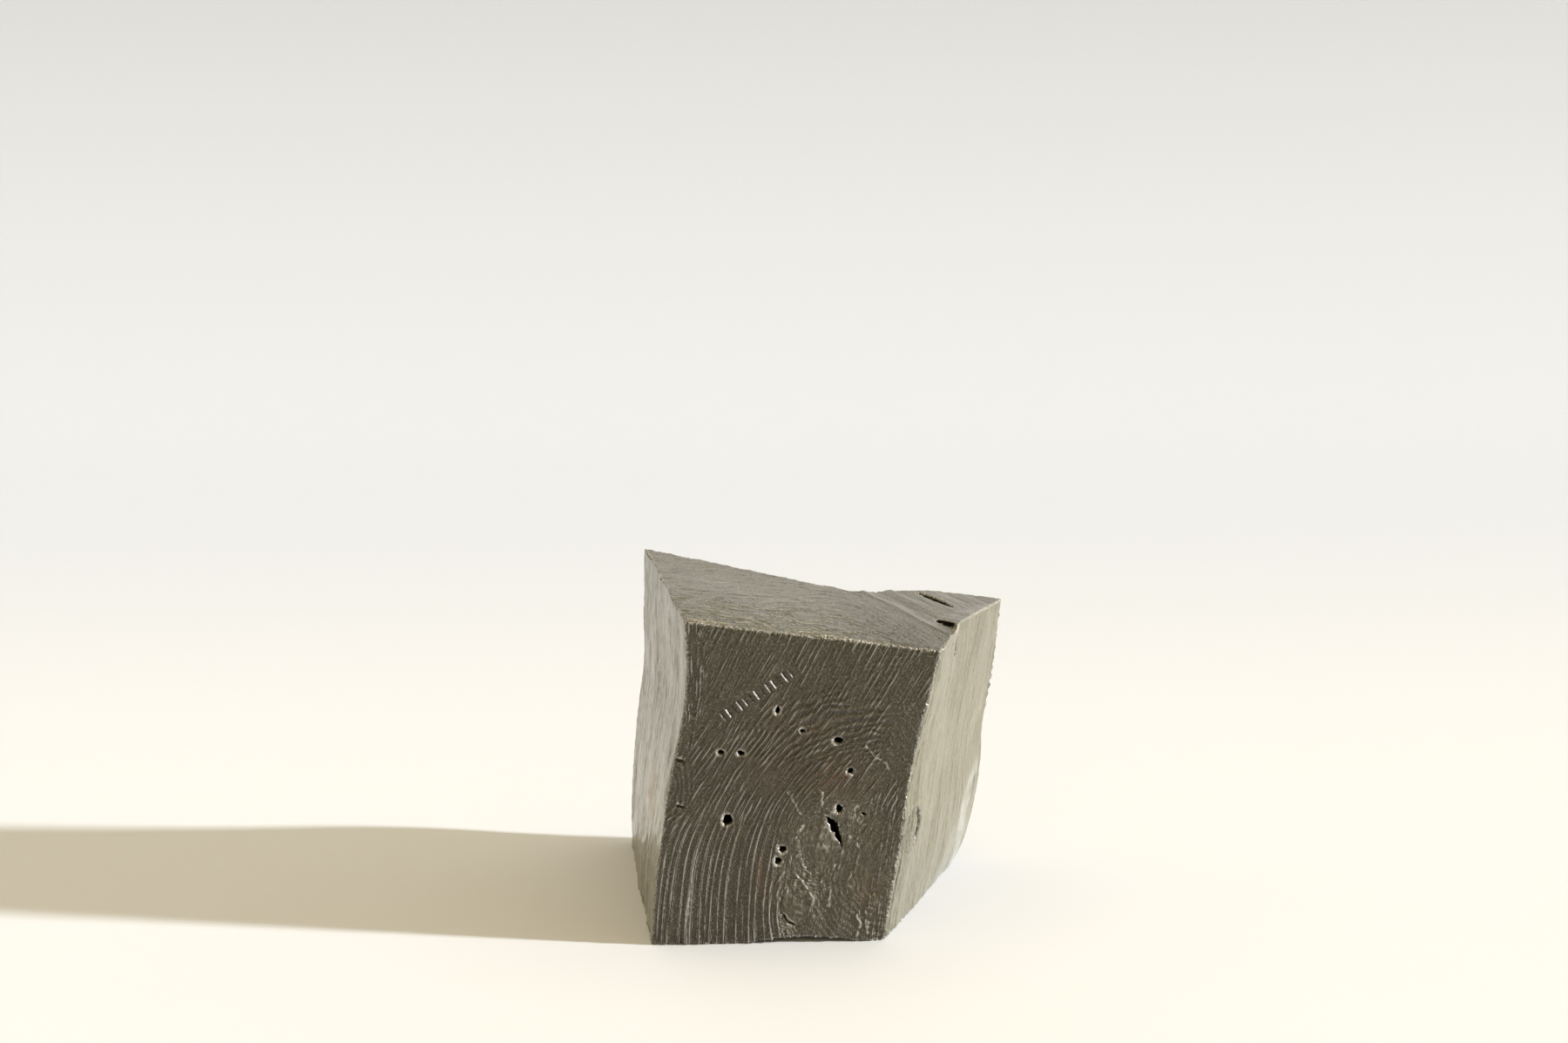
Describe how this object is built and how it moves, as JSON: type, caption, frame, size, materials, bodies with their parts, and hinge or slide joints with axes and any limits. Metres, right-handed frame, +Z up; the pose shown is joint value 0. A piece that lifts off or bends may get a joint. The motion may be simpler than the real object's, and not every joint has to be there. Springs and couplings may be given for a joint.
{
  "type": "ink stick",
  "caption": "Block-shaped solid ink stick moulded over old split timber, with sawn front and top, beetle holes, drying cracks and loose knots.",
  "frame": {"origin": "middle of the block's bounding box, on the bottom face that it rests on", "axes": "+Z up, sawn front face looks along -Y, +X to the right seen from the front and along the longest side of the box"},
  "size_m": [0.092, 0.0706, 0.0809],
  "materials": {
    "ink": "satin, wood-grain relief",
    "knot_ink": "satin, smooth"
  },
  "bodies": {
    "root": {"ink_block": "ink", "large_knot": "knot_ink", "lower_knot": "knot_ink", "small_knot": "knot_ink", "side_knot": "knot_ink"}
  },
  "joints": []
}
